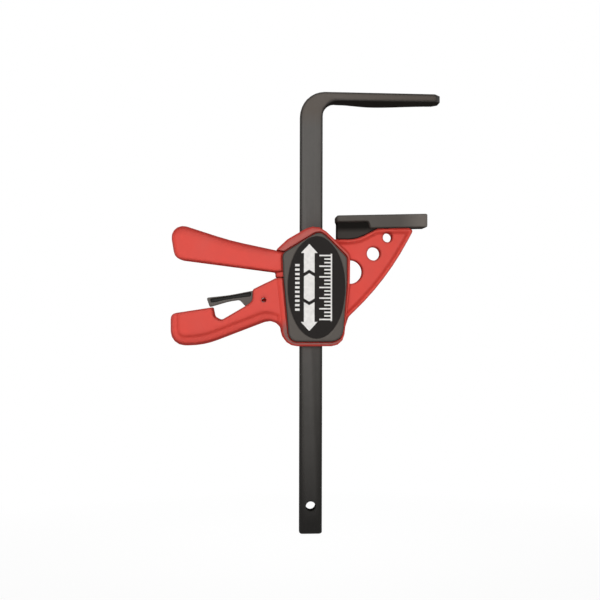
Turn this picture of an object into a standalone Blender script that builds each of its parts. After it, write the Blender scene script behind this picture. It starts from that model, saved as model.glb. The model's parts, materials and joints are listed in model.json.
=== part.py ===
"""One-hand guide-rail clamp: a bent steel bar and a moulded head that is pumped along it.

Metres, +Z up along the bar, +X along the finger, front towards -Y. The origin is on the finger's clamping
face, over the pad. The head's own zero is on the bar's axis, level with the trigger's pin.
"""

import math

import bmesh
import bpy
from mathutils import Vector

# Fits
SEAT_GAP = 0.0003
RUN_GAP = 0.0004
LABEL_GAP = 0.0001
PAST = 0.004

# Bar and finger
BAR_WIDTH = 0.013
BAR_THICKNESS = 0.006
BAR_EDGE = 0.0011
BAR_DROP = 0.2479
BAR_END_CHAMFER = 0.0008
BAR_HOLE_RADIUS = 0.0028
BAR_HOLE_RISE = 0.0159
BEND_OUTER_RADIUS = 0.0138
BEND_INNER_RADIUS = 0.0085
FINGER_REACH = 0.0741
FINGER_ROOT_THICKNESS = 0.005
FINGER_TIP_THICKNESS = 0.0046
FINGER_FRONT = 0.004
FINGER_ROOT_BACK = 0.0078
FINGER_BACK = 0.013
FINGER_TIP_BACK = 0.0085
FINGER_WIDEST_AT = 0.037
FINGER_TIP_CHAMFER = 0.003
FINGER_EDGE = 0.0006

# Clamping face to pad face, as in the photo, and the bar to the middle of the grip
OPENING = 0.0651
CLAMP_POINT = 0.0397

# Depths, worked from the bar outwards
PLATE_OVERHANG = 0.0016
CHEEK_THICKNESS = 0.0024
COVER_ROOM = 0.0006
COVER_THICKNESS = 0.0022
COVER_PROUD = 0.0003
HANDLE_THICKNESS = 0.0188
HANDLE_BORDER_SINK = 0.0009
HANDLE_BORDER_SLOPE = 0.0012
JAW_THICKNESS = 0.0098
JAW_PANEL_SINK = 0.0015
JAW_PANEL_SLOPE = 0.0017
WEB_THICKNESS = 0.0132
TRIGGER_THICKNESS = 0.0078
TRIGGER_POCKET_SINK = 0.0024

# Edges
BOSS_EDGE = 0.0024
HANDLE_EDGE = 0.004
JAW_EDGE = 0.0012
LEVER_EDGE = 0.0022
COVER_EDGE = 0.0011
TRIGGER_EDGE = 0.0005
PAD_EDGE = 0.0016
HOLE_CHAMFER = 0.0004

# Cover, label and screws
COVER_SEAT_WIDTH = 0.0018
COVER_GAP = 0.0006
LABEL_WIDTH = 0.0324
LABEL_HEIGHT = 0.0575
LABEL_RIGHT = 0.0026
LABEL_RISE = 0.0072
LABEL_THICKNESS = 0.0003
LABEL_SINK = 0.0001
POST_RADIUS = 0.002
SCREW_RADIUS = 0.0011
SCREW_LENGTH = 0.009
SCREW_HEAD_RADIUS = 0.0021
SCREW_HEAD_HEIGHT = 0.0012
SCREW_SLOT_WIDTH = 0.0007
SCREW_SLOT_LENGTH = 0.0027
SCREW_SLOT_DEPTH = 0.0006

# Drive lever
LEVER_PIN_RADIUS = 0.00175
LEVER_PIN_ROOM = 0.0054
LEVER_PIN_RISE = -0.015
LEVER_EYE_RADIUS = 0.0032
LEVER_EYE_ROUND = 0.99
LEVER_EYE_NEAR_ROUND = 0.79
LEVER_NOSE_ROOM = 0.002
LEVER_NOSE_WIDTH = 0.0028
LEVER_NOSE_RISE = 0.0146
LEVER_NOSE_HEIGHT = 0.0024
LEVER_NOSE_SLANT = 0.0012
LEVER_SHOULDER_ROOM = 0.0072
LEVER_SHOULDER_RISE = 0.0256
LEVER_ARM_ROOT = 0.016
LEVER_WEB_LEFT = 0.0138
LEVER_WEB_RIGHT = 0.0088
WEB_SWING_LEFT = 0.0048
WEB_SWING_DOWN = 0.0049
WINDOW_FLOOR = 0.0125
WINDOW_OUTSIDE = 0.02
WINDOW_INSIDE = 0.006

# Plates, pins and springs
DRIVE_PLATE_THICKNESS = 0.0022
DRIVE_PLATE_TILT = math.radians(4.0)
DRIVE_PLATE_LEFT = 0.007
DRIVE_PLATE_RIGHT = 0.0022
BRAKE_PLATE_THICKNESS = 0.003
BRAKE_PLATE_TILT = math.radians(5.0)
BRAKE_PLATE_LEFT = 0.0052
BRAKE_PLATE_RIGHT = 0.0062
BRAKE_TAIL_LEFT = 0.0146
BRAKE_TAIL_WIDTH = 0.0064
PLATE_CORNER = 0.0012
PIN_CHAMFER = 0.00025
FULCRUM_RADIUS = 0.0015
FULCRUM_ROOM = 0.003
FULCRUM_RISE = -0.0009
SHELF_ROOM = 0.0006
SHELF_ROOT = 0.0092
SHELF_TOP = 0.0025
SHELF_THICKNESS = 0.0041
BLOCK_ROOM = 0.0008
BLOCK_ROOT = 0.0111
BLOCK_ABOVE_PIN = 0.0035
SPRING_DIAMETER = 0.0052
SPRING_WIRE = 0.0007
SPRING_ROOM = 0.0014
BRAKE_SPRING_ROOM = 0.0009
SPRING_TURNS = 4
SPRING_POINTS = 10

# Trigger
TRIGGER_PIN_ROOM = 0.0206
TRIGGER_PIN_RADIUS = 0.0011
TRIGGER_PIN_SINK = 0.0032
TRIGGER_SLOT_ROOM = 0.0005
TRIGGER_SLOT_DROP = 0.0007
TRIGGER_TOE_TOP = -0.007
TRIGGER_TOE_BOTTOM = -0.0096

# Jaw and pad
JAW_RIM = 0.0013
JAW_DROP = 0.0081
JAW_TOP_LEFT = 0.0306
JAW_TOP_RIGHT = 0.0528
TONGUE_LEFT = 0.0312
PAD_ROOM = 0.0077
PAD_LENGTH = 0.0522
PAD_WIDTH = 0.0152
PAD_FACE_RISE = 0.049
PAD_TILT = math.radians(1.5)
PAD_PLATE = 0.0039
PAD_SKIRT = 0.0032
PAD_SKIRT_START = 0.0268
PAD_END_WALL = 0.0094
PAD_CORE_WIDTH = 0.0105
PAD_CORE_RIGHT = 0.0304
PAD_CORE_SETBACK = 0.0005
PAD_SKIRT_SLANT = 0.001

# Smoothness
ARC_STEP = math.radians(14.0)
ARC_ERROR = 0.00007
LEAST_RADIUS = 0.0003
EDGE_STEPS = 3
ROUND_SIDES = 24
BEND_STEPS = 8
FINGER_STEPS = 12
SHARP_ANGLE = math.radians(30.0)

# Worked out from the sizes above
PLATE_HALF = BAR_THICKNESS / 2 + PLATE_OVERHANG
CHEEK_IN = PLATE_HALF + RUN_GAP
CHEEK_OUT = CHEEK_IN + CHEEK_THICKNESS
COVER_SEAT = CHEEK_OUT + COVER_ROOM
COVER_IN = COVER_SEAT + SEAT_GAP
BOSS_HALF = COVER_SEAT + COVER_THICKNESS
COVER_OUT = BOSS_HALF + COVER_PROUD
HEAD_RISE = -(OPENING + PAD_FACE_RISE)


def left(distance):
    """X of a place this far to the left of the bar."""
    return -BAR_WIDTH / 2 - distance


def right(distance):
    """X of a place this far to the right of the bar."""
    return BAR_WIDTH / 2 + distance


def under_pad_face(room, drop):
    """A point under the pad's sloping face, this far to the right of the bar."""
    return (right(room), PAD_FACE_RISE - drop + (room - PAD_ROOM - PAD_LENGTH / 2) * math.tan(PAD_TILT))


LEVER_PIN = (right(LEVER_PIN_ROOM), LEVER_PIN_RISE)
TRIGGER_PIN = (left(TRIGGER_PIN_ROOM), 0.0)
FULCRUM = (left(FULCRUM_ROOM), FULCRUM_RISE)
DRIVE_SPRING_X = left(SPRING_ROOM + SPRING_DIAMETER / 2)
BRAKE_SPRING_X = right(BRAKE_SPRING_ROOM + SPRING_DIAMETER / 2)
BLOCK_TOP = LEVER_PIN_RISE + BLOCK_ABOVE_PIN
POSTS = {
    "upper": (right(0.0061), 0.0235),
    "middle": (right(0.0084), 0.004),
    "lower": (left(0.0028), -0.0155),
}
JAW_HOLES = (
    (right(0.0374), 0.0361, 0.0027),
    (right(0.0294), 0.0268, 0.0039),
    (right(0.0162), 0.0163, 0.0068),
)

# Outlines, clockwise from the front. A corner is (x, z, corner radius), and after it may come the share
# of the edge rounding that the side up to the next corner has.
COVER_OUTLINE = (
    (0.0046, 0.0395, 0.005),
    (right(0.0134), 0.0243, 0.0035),
    (right(0.0133), 0.0095, 0.02),
    (right(0.011), -0.02345, 0.007),
    (left(0.0063), -0.02345, 0.005),
    (left(0.0096), 0.012, 0.03),
    (left(0.0103), 0.0264, 0.004),
)
BOSS_OUTLINE = (
    (0.0028, 0.0441, 0.01),
    (right(0.0154), 0.0262, 0.004),
    (right(0.0152), 0.009, 0.02),
    (right(0.0115), -0.0261, 0.0075),
    (left(0.0098), -0.0261, 0.009),
    (left(0.0138), 0.012, 0.03),
    (left(0.0138), 0.0284, 0.0022),
    (left(0.0072), 0.0346, 0.012),
)
HANDLE_OUTLINE = (
    (left(0.0731), -0.0078, 0.0032, 0.15),
    (left(0.0494), -0.0041, 0.0008, 0.15),
    (left(0.0483), -0.0095, 0.0015, 0.15),
    (left(0.0448), -0.0115, 0.002, 0.15),
    (left(0.0309), -0.0033, 0.001, 0.15),
    (left(0.027), -0.0006, 0.003, 0.15),
    (left(0.0268), 0.0061, 0.001, 0.15),
    (left(0.014), WINDOW_FLOOR, 0.0, 0.0),
    (left(0.005), WINDOW_FLOOR, 0.0, 0.0),
    (left(0.005), -0.0195, 0.0, 0.0),
    (left(0.0101), -0.0195, 0.0, 0.5),
    (left(0.0111), -0.009, 0.0072, 1.0),
    (left(0.0545), -0.0257, 0.045, 1.0),
    (left(0.073), -0.0257, 0.008, 1.0),
)
HANDLE_BORDER_OUTLINE = (
    (left(0.09), 0.02, 0.0),
    (left(0.0678), 0.02, 0.0),
    (left(0.0678), -0.02, 0.003),
    (left(0.0546), -0.0192, 0.04),
    (left(0.0196), -0.0056, 0.012),
    (left(0.0117), -0.0079, 0.001),
    (left(0.0117), -0.05, 0.0),
    (left(0.09), -0.05, 0.0),
)
LEVER_OUTLINE = (
    (left(0.0742), 0.0446, 0.0065, 1.0),
    (left(0.0396), 0.0336, 0.15, 1.0),
    (left(0.0085), 0.02709, 0.0, 0.0),
    (left(0.0085), 0.0168, 0.0, 0.0),
    (left(0.0142), 0.0159, 0.0, 0.4),
    (left(0.0706), 0.02312, 0.005, 1.0),
)
LEVER_WEB_OUTLINE = (
    (left(LEVER_WEB_LEFT), 0.0185, 0.0),
    (left(LEVER_WEB_RIGHT), 0.0185, 0.0),
    (left(LEVER_WEB_RIGHT), WINDOW_FLOOR + SEAT_GAP, 0.0006),
    (left(LEVER_WEB_LEFT), WINDOW_FLOOR + SEAT_GAP, 0.0006),
)
JAW_OUTLINE = (
    (right(0.003), 0.0349, 0.0),
    (right(0.0193), 0.0349, 0.02),
    (*under_pad_face(JAW_TOP_LEFT, JAW_DROP), 0.003),
    (*under_pad_face(JAW_TOP_RIGHT, JAW_DROP), 0.0016),
    (right(0.0368), 0.0115, 0.16),
    (right(0.0149), -0.0095, 0.004),
    (right(0.0125), -0.017, 0.0),
    (right(0.003), -0.017, 0.0),
)
TRIGGER_OUTLINE = (
    (left(0.0531), 0.0013, 0.0008),
    (left(0.0403), 0.0027, 0.08),
    (left(0.0256), 0.0056, 0.002),
    (left(TRIGGER_PIN_ROOM - 0.0036), 0.0036, 0.0032),
    (left(TRIGGER_PIN_ROOM - 0.0046), TRIGGER_TOE_TOP, 0.0006),
    (left(TRIGGER_PIN_ROOM - 0.0086), TRIGGER_TOE_TOP, 0.0008),
    (left(TRIGGER_PIN_ROOM - 0.0086), TRIGGER_TOE_BOTTOM, 0.0008),
    (left(TRIGGER_PIN_ROOM - 0.0008), TRIGGER_TOE_BOTTOM, 0.0015),
    (left(TRIGGER_PIN_ROOM + 0.0032), -0.0034, 0.002),
    (left(0.0312), -0.0034, 0.0008),
    (left(0.0342), 0.0, 0.002),
    (left(0.0404), -0.0009, 0.02),
    (left(0.0512), -0.0041, 0.0008),
)
TRIGGER_POCKET_OUTLINE = (
    (left(0.0512), 0.0007, 0.0008),
    (left(0.0403), 0.0023, 0.08),
    (left(0.0278), 0.0047, 0.0008),
    (left(0.0278), 0.0022, 0.0008),
    (left(0.0345), 0.0014, 0.002),
    (left(0.0404), 0.0006, 0.02),
    (left(0.0504), -0.0016, 0.0008),
)
TRIGGER_SLOT_OUTLINE = (
    (left(0.0541), 0.02, 0.0),
    (left(0.0118), 0.02, 0.0),
    (left(0.0118), -0.0018, 0.0),
    (left(0.005), -0.0018, 0.0),
    (left(0.005), TRIGGER_TOE_BOTTOM - TRIGGER_SLOT_DROP, 0.0),
    (left(TRIGGER_PIN_ROOM + 0.0022), TRIGGER_TOE_BOTTOM - TRIGGER_SLOT_DROP, 0.001),
    (left(TRIGGER_PIN_ROOM + 0.0042), -0.0058, 0.001),
    (left(0.0316), -0.0058, 0.001),
    (left(0.0456), -0.0122, 0.001),
    (left(0.0541), -0.0122, 0.001),
)


def clear_scene():
    for obj in list(bpy.data.objects):
        bpy.data.objects.remove(obj, do_unlink=True)


def arc_corner(here, into, away, radius, base):
    """Points that round one corner to a radius. Their number goes by the base radius."""
    turn = into.angle(away)
    if base <= 0.0 or turn < 1e-4:
        return [here]
    finest = 2 * math.acos(1 - ARC_ERROR / max(base, 2 * ARC_ERROR))
    steps = math.ceil(turn / min(ARC_STEP, finest) if base > 0.01 else turn / (2 * ARC_STEP))
    centre = here + (away - into).normalized() * (radius / math.cos(turn / 2))
    first = here - into * (radius * math.tan(turn / 2)) - centre
    side = 1.0 if into.cross(away) > 0 else -1.0
    points = []
    for step in range(steps + 1):
        angle = side * turn * step / steps
        points.append(centre + Vector((
            first.x * math.cos(angle) - first.y * math.sin(angle),
            first.x * math.sin(angle) + first.y * math.cos(angle),
        )))
    return points


def rounded(corners, drawn_in=0.0):
    """The outline with its corners rounded, drawn in by a distance or let out by a negative one."""
    places = [Vector(corner[:2]) for corner in corners]
    shares = [corner[3] if len(corner) > 3 else 1.0 for corner in corners]
    points = []
    for index, here in enumerate(places):
        into = (here - places[index - 1]).normalized()
        away = (places[(index + 1) % len(places)] - here).normalized()
        before = drawn_in * shares[index - 1]
        after = drawn_in * shares[index]
        turned = into.cross(away)
        if abs(turned) < 1e-6:
            moved = here + Vector((into.y, -into.x)) * before
        else:
            moved = here + (into * after - away * before) / turned
        base = corners[index][2]
        change = (before + after) / 2
        radius = max(base - change, LEAST_RADIUS) if turned < 0 else base + change
        points += arc_corner(moved, into, away, radius, base)
    return points


def circle(x, z, radius):
    turn = [2 * math.pi * side / ROUND_SIDES for side in range(ROUND_SIDES)]
    return [Vector((x + radius * math.cos(angle), z - radius * math.sin(angle))) for angle in turn]


def box(x_low, x_high, z_low, z_high):
    corners = ((x_low, z_high), (x_high, z_high), (x_high, z_low), (x_low, z_low))
    return [Vector(corner) for corner in corners]


def flat(outline, low, high):
    """Rings of a straight prism."""
    return [(outline, low), (outline, high)]


def soft(corners, low, high, edge, low_edge=True, high_edge=True):
    """Rings of a prism with rounded rims."""
    turns = [math.pi / 2 * step / EDGE_STEPS for step in range(EDGE_STEPS + 1)]
    rim = [(rounded(corners, edge * (1 - math.sin(a))), edge * (1 - math.cos(a))) for a in turns]
    plain = [(rounded(corners), 0.0)]
    low_rim = rim if low_edge else plain
    high_rim = rim if high_edge else plain
    rings = [(outline, low + depth) for outline, depth in low_rim]
    return rings + [(outline, high - depth) for outline, depth in reversed(high_rim)]


def add_object(name, build, parent, place=(0.0, 0.0, 0.0)):
    bmesh.ops.recalc_face_normals(build, faces=build.faces)
    mesh = bpy.data.meshes.new(name)
    build.to_mesh(mesh)
    build.free()
    obj = bpy.data.objects.new(name, mesh)
    bpy.context.scene.collection.objects.link(obj)
    obj.parent = parent
    obj.location = place
    return obj


def skin(build, rings):
    """Closes a row of equal rings of points into a solid."""
    for lower, upper in zip(rings, rings[1:]):
        for index in range(len(lower)):
            after = (index + 1) % len(lower)
            build.faces.new((lower[index], lower[after], upper[after], upper[index]))
    build.faces.new(rings[0])
    build.faces.new(reversed(rings[-1]))


def prism(name, rings, parent, origin=(0.0, 0.0)):
    """A solid through rings in the XZ plane, each at a depth along Y, with its own origin."""
    build = bmesh.new()
    placed = []
    for outline, level in rings:
        placed.append([build.verts.new((p.x - origin[0], level, p.y - origin[1])) for p in outline])
    skin(build, placed)
    return add_object(name, build, parent, (origin[0], 0.0, origin[1]))


def combine(obj, other, operation):
    other.hide_render = True
    other.display_type = "WIRE"
    modifier = obj.modifiers.new(other.name, "BOOLEAN")
    modifier.operation = operation
    modifier.solver = "EXACT"
    modifier.object = other


def cut(obj, name, outline, low, high, parent):
    combine(obj, prism(name, flat(outline, low, high), parent), "DIFFERENCE")


def cut_sides(obj, name, outline, inner, outer, parent):
    """The same cut into the front and the back, from a depth outwards."""
    cut(obj, name + "_front", outline, -outer, -inner, parent)
    cut(obj, name + "_back", outline, inner, outer, parent)


def cut_sunk(obj, name, corners, rim, slope, floor, face, parent):
    """A sunk field in the front and the back, a rim inside the corners, its walls leaning by the slope."""
    foot = rounded(corners, rim + slope)
    mouth = rounded(corners, rim)
    for label, side in (("_front", -1), ("_back", 1)):
        rings = [(foot, side * floor), (mouth, side * face), (mouth, side * (face + PAST))]
        combine(obj, prism(name + label, rings, parent), "DIFFERENCE")


def join(obj, other):
    combine(obj, other, "UNION")


def finish(obj, material):
    obj.data.shade_smooth()
    obj.data.set_sharp_from_angle(angle=SHARP_ANGLE)
    obj.data.materials.append(material)
    return obj


def make_material(name, colour, roughness, metallic=0.0):
    material = bpy.data.materials.new(name)
    material.use_nodes = True
    shader = material.node_tree.nodes["Principled BSDF"]
    shader.inputs["Base Color"].default_value = (*colour, 1.0)
    shader.inputs["Roughness"].default_value = roughness
    shader.inputs["Metallic"].default_value = metallic
    return material


def red_plastic(name):
    return make_material(name, (0.62, 0.055, 0.04), 0.45)


def grey_plastic(name):
    return make_material(name, (0.085, 0.08, 0.073), 0.6)


def steel(name):
    return make_material(name, (0.42, 0.42, 0.43), 0.35, 1.0)


def make_empty(name, place, parent):
    empty = bpy.data.objects.new(name, None)
    bpy.context.scene.collection.objects.link(empty)
    empty.parent = parent
    empty.location = place
    return empty


def bar_ring(build, outer, inner, front, back, radius):
    """One ring across the bar between its outer and inner side, with rounded corners."""
    across = Vector(outer) - Vector(inner)
    half = across.length / 2
    across.normalize()
    middle = (Vector(outer) + Vector(inner)) / 2
    corners = (
        (-front, half, radius), (back, half, radius),
        (back, -half, radius), (-front, -half, radius),
    )
    ring = []
    for point in rounded(corners):
        place = middle + across * point.y
        ring.append(build.verts.new((place.x, point.x, place.y)))
    return ring


def eased(low, high, share):
    return low + (high - low) * (1 - math.cos(math.pi * share)) / 2


def make_bar(frame):
    """The bar, its bend and the finger, forged thinner and wider to the back, in one run of sections."""
    half = BAR_WIDTH / 2
    half_depth = BAR_THICKNESS / 2
    bend_end = half + BEND_INNER_RADIUS
    tip = FINGER_REACH - FINGER_TIP_CHAMFER
    build = bmesh.new()
    rings = []
    for level, drawn_in in ((-BAR_DROP, BAR_END_CHAMFER), (-BAR_DROP + BAR_END_CHAMFER, 0.0)):
        outer = (-half + drawn_in, level)
        inner = (half - drawn_in, level)
        depth = half_depth - drawn_in
        rings.append(bar_ring(build, outer, inner, depth, depth, BAR_EDGE))
    for step in range(BEND_STEPS + 1):
        share = step / BEND_STEPS
        along = math.cos(math.pi / 2 * share)
        up = math.sin(math.pi / 2 * share) - 1
        outer = (-half + BEND_OUTER_RADIUS * (1 - along), FINGER_ROOT_THICKNESS + BEND_OUTER_RADIUS * up)
        inner = (bend_end - BEND_INNER_RADIUS * along, BEND_INNER_RADIUS * up)
        front = half_depth + (FINGER_FRONT - half_depth) * share ** 2
        back = half_depth + (FINGER_ROOT_BACK - half_depth) * share ** 2
        edge = BAR_EDGE + (FINGER_EDGE - BAR_EDGE) * share
        rings.append(bar_ring(build, outer, inner, front, back, edge))
    for step in range(1, FINGER_STEPS + 1):
        share = step / FINGER_STEPS
        x = bend_end + (tip - bend_end) * share
        thickness = FINGER_ROOT_THICKNESS + (FINGER_TIP_THICKNESS - FINGER_ROOT_THICKNESS) * share
        if x < FINGER_WIDEST_AT:
            widened = (x - bend_end) / (FINGER_WIDEST_AT - bend_end)
            back = eased(FINGER_ROOT_BACK, FINGER_BACK, widened)
        else:
            narrowed = (x - FINGER_WIDEST_AT) / (tip - FINGER_WIDEST_AT)
            back = eased(FINGER_BACK, FINGER_TIP_BACK, narrowed)
        rings.append(bar_ring(build, (x, thickness), (x, 0.0), FINGER_FRONT, back, FINGER_EDGE))
    front = FINGER_FRONT - FINGER_TIP_CHAMFER / 2
    back = FINGER_TIP_BACK - FINGER_TIP_CHAMFER
    top = (FINGER_REACH, FINGER_TIP_THICKNESS - BAR_END_CHAMFER)
    rings.append(bar_ring(build, top, (FINGER_REACH, 0.0), front, back, FINGER_EDGE))
    skin(build, rings)
    bar = add_object("bar", build, frame)
    hole = circle(0.0, -BAR_DROP + BAR_HOLE_RISE, BAR_HOLE_RADIUS)
    cut(bar, "bar_hole", hole, -BAR_THICKNESS, BAR_THICKNESS, frame)
    return finish(bar, make_material("bar_steel", (0.05, 0.049, 0.047), 0.4, 0.6))


def make_handle(head):
    """The lower handle of the body, with a raised panel inside a sunk border on each side."""
    half = HANDLE_THICKNESS / 2
    floor = half - HANDLE_BORDER_SINK
    handle = prism("handle_form", soft(HANDLE_OUTLINE, -half, half, HANDLE_EDGE), head)
    border = HANDLE_BORDER_OUTLINE
    cut_sunk(handle, "handle_border", border, 0.0, HANDLE_BORDER_SLOPE, floor, half, head)
    return handle


def tongue_outline():
    """The tongue on the jaw's top, a seat gap inside the pad's pocket."""
    high = PAD_ROOM + PAD_LENGTH - PAD_END_WALL - SEAT_GAP
    top = PAD_PLATE + SEAT_GAP
    return rounded((
        (*under_pad_face(TONGUE_LEFT, top), 0.0008),
        (*under_pad_face(high, top), 0.0008),
        (*under_pad_face(high, JAW_DROP + SEAT_GAP), 0.0),
        (*under_pad_face(TONGUE_LEFT, JAW_DROP + SEAT_GAP), 0.0),
    ))


def make_jaw(head):
    """The jaw of the body, with its rim, its three holes and the tongue that the pad slides over."""
    half = JAW_THICKNESS / 2
    floor = half - JAW_PANEL_SINK
    jaw = prism("jaw_form", soft(JAW_OUTLINE, -half, half, JAW_EDGE), head)
    cut_sunk(jaw, "jaw_panel", JAW_OUTLINE, JAW_RIM, JAW_PANEL_SLOPE, floor, half, head)
    for number, (x, z, radius) in enumerate(JAW_HOLES, 1):
        name = f"jaw_hole_{number}"
        cut(jaw, name, circle(x, z, radius), -half - PAST, half + PAST, head)
        wide = circle(x, z, radius + HOLE_CHAMFER)
        cut_sides(jaw, name + "_rim", wide, floor - HOLE_CHAMFER, half + PAST, head)
    tongue_half = PAD_WIDTH / 2 - PAD_SKIRT - SEAT_GAP
    join(jaw, prism("jaw_tongue", flat(tongue_outline(), -tongue_half, tongue_half), head))
    return jaw


def window_outline():
    """The opening in the boss that the lever comes out of, with the lever's top edge at rest against it."""
    root = Vector(LEVER_OUTLINE[2][:2])
    bend = Vector(LEVER_OUTLINE[1][:2])
    slope = (bend.y - root.y) / (bend.x - root.x)
    outside = left(WINDOW_OUTSIDE)
    inside = left(WINDOW_INSIDE)
    return [
        Vector((outside, root.y + slope * (outside - root.x) + SEAT_GAP)),
        Vector((inside, root.y + slope * (inside - root.x) + SEAT_GAP)),
        Vector((inside, WINDOW_FLOOR)),
        Vector((outside, WINDOW_FLOOR)),
    ]


def make_body(head):
    """Boss, lower handle and jaw in one moulding, hollowed for the works."""
    through = BOSS_HALF + PAST
    body = prism("body", soft(BOSS_OUTLINE, -BOSS_HALF, BOSS_HALF, BOSS_EDGE), head)
    join(body, make_handle(head))
    join(body, make_jaw(head))
    cut_sides(body, "cover_recess", rounded(COVER_OUTLINE, -COVER_GAP), COVER_SEAT, through, head)
    cut(body, "cavity", rounded(COVER_OUTLINE, COVER_SEAT_WIDTH), -through, through, head)
    cut(body, "lever_window", window_outline(), -through, through, head)
    slot_half = TRIGGER_THICKNESS / 2 + TRIGGER_SLOT_ROOM
    cut(body, "trigger_slot", rounded(TRIGGER_SLOT_OUTLINE), -slot_half, slot_half, head)
    web_half = WEB_THICKNESS / 2 + RUN_GAP
    web_floor = WINDOW_FLOOR - WEB_SWING_DOWN
    web_left = left(LEVER_WEB_LEFT + WEB_SWING_LEFT)
    web_room = box(web_left, left(WINDOW_INSIDE), web_floor, WINDOW_FLOOR + PAST)
    cut(body, "web_room", web_room, -web_half, web_half, head)
    shelf = box(left(SHELF_ROOT), left(SHELF_ROOM), SHELF_TOP - SHELF_THICKNESS, SHELF_TOP)
    join(body, prism("shelf", flat(shelf, -PLATE_HALF, PLATE_HALF), head))
    block = box(right(BLOCK_ROOM), right(BLOCK_ROOT), LEVER_PIN_RISE - LEVER_EYE_RADIUS, BLOCK_TOP)
    join(body, prism("pin_block", flat(block, -PLATE_HALF, PLATE_HALF), head))
    pins = (
        ("fulcrum_hole", FULCRUM, FULCRUM_RADIUS, through),
        ("lever_pin_hole", LEVER_PIN, LEVER_PIN_RADIUS, CHEEK_IN),
        ("trigger_pin_hole", TRIGGER_PIN, TRIGGER_PIN_RADIUS, through),
    )
    for name, place, radius, reach in pins:
        cut(body, name, circle(*place, radius + SEAT_GAP / 2), -reach, reach, head)
    bar_half = BAR_WIDTH / 2 + RUN_GAP
    bar_depth = BAR_THICKNESS / 2 + RUN_GAP
    channel = box(-bar_half, bar_half, BOSS_OUTLINE[3][1] - PAST, BOSS_OUTLINE[0][1] + PAST)
    cut(body, "bar_channel", channel, -bar_depth, bar_depth, head)
    return finish(body, red_plastic("body_red"))


def label_outline(grow):
    turn = [math.pi * side / ROUND_SIDES for side in range(2 * ROUND_SIDES)]
    half_width = LABEL_WIDTH / 2 + grow
    half_height = LABEL_HEIGHT / 2 + grow
    centre = Vector((LABEL_RIGHT, LABEL_RISE))
    return [centre + Vector((half_width * math.cos(a), -half_height * math.sin(a))) for a in turn]


def make_front_cover(head):
    """The front cover, with the label's pocket and the three posts that the screws go into."""
    rings = soft(COVER_OUTLINE, -COVER_OUT, -COVER_IN, COVER_EDGE, high_edge=False)
    cover = prism("front_cover", rings, head)
    for name, (x, z) in POSTS.items():
        post = flat(circle(x, z, POST_RADIUS), -COVER_IN - COVER_THICKNESS / 4, COVER_SEAT)
        join(cover, prism(name + "_post", post, head))
        bore = circle(x, z, SCREW_RADIUS + SEAT_GAP / 2)
        cut(cover, name + "_post_bore", bore, COVER_SEAT - SCREW_LENGTH, COVER_SEAT + PAST, head)
    pocket = COVER_OUT - LABEL_SINK - LABEL_THICKNESS - LABEL_GAP
    cut(cover, "label_pocket", label_outline(SEAT_GAP), -COVER_OUT - PAST, -pocket, head)
    return finish(cover, grey_plastic("front_cover_grey"))


def make_rear_cover(head):
    """The rear cover, with sunk holes for the three screws."""
    rings = soft(COVER_OUTLINE, COVER_IN, COVER_OUT, COVER_EDGE, low_edge=False)
    cover = prism("rear_cover", rings, head)
    floor = COVER_OUT - SCREW_HEAD_HEIGHT - SEAT_GAP
    for name, (x, z) in POSTS.items():
        hole = circle(x, z, SCREW_RADIUS + SEAT_GAP)
        cut(cover, name + "_screw_hole", hole, 0.0, COVER_OUT + PAST, head)
        sink = circle(x, z, SCREW_HEAD_RADIUS + SEAT_GAP)
        cut(cover, name + "_screw_sink", sink, floor, COVER_OUT + PAST, head)
    return finish(cover, grey_plastic("rear_cover_grey"))


def make_label(head):
    outer = -COVER_OUT + LABEL_SINK
    label = prism("front_label", flat(label_outline(0.0), outer, outer + LABEL_THICKNESS), head)
    return finish(label, make_material("label_black", (0.02, 0.019, 0.018), 0.4))


def make_screws(head):
    """Three equal screws, driven from the back into the front cover's posts."""
    top = COVER_OUT - SEAT_GAP / 2
    neck = top - SCREW_HEAD_HEIGHT
    tip = COVER_SEAT - SCREW_LENGTH + SEAT_GAP
    shank = ((SCREW_RADIUS, tip), (SCREW_RADIUS, neck))
    steps = (*shank, (SCREW_HEAD_RADIUS, neck), (SCREW_HEAD_RADIUS, top))
    arm = SCREW_SLOT_LENGTH / 2
    thin = SCREW_SLOT_WIDTH / 2
    cross = (
        (-thin, arm), (thin, arm), (thin, thin), (arm, thin), (arm, -thin), (thin, -thin),
        (thin, -arm), (-thin, -arm), (-thin, -thin), (-arm, -thin), (-arm, thin), (-thin, thin),
    )
    for name, (x, z) in POSTS.items():
        screw_name = name + "_cover_screw"
        rings = [(circle(x, z, radius), level) for radius, level in steps]
        screw = prism(screw_name, rings, head, (x, z))
        outline = [Vector((x + across, z + up)) for across, up in cross]
        cut(screw, screw_name + "_cross", outline, top - SCREW_SLOT_DEPTH, top + PAST, head)
        finish(screw, steel(screw_name + "_steel"))


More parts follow.
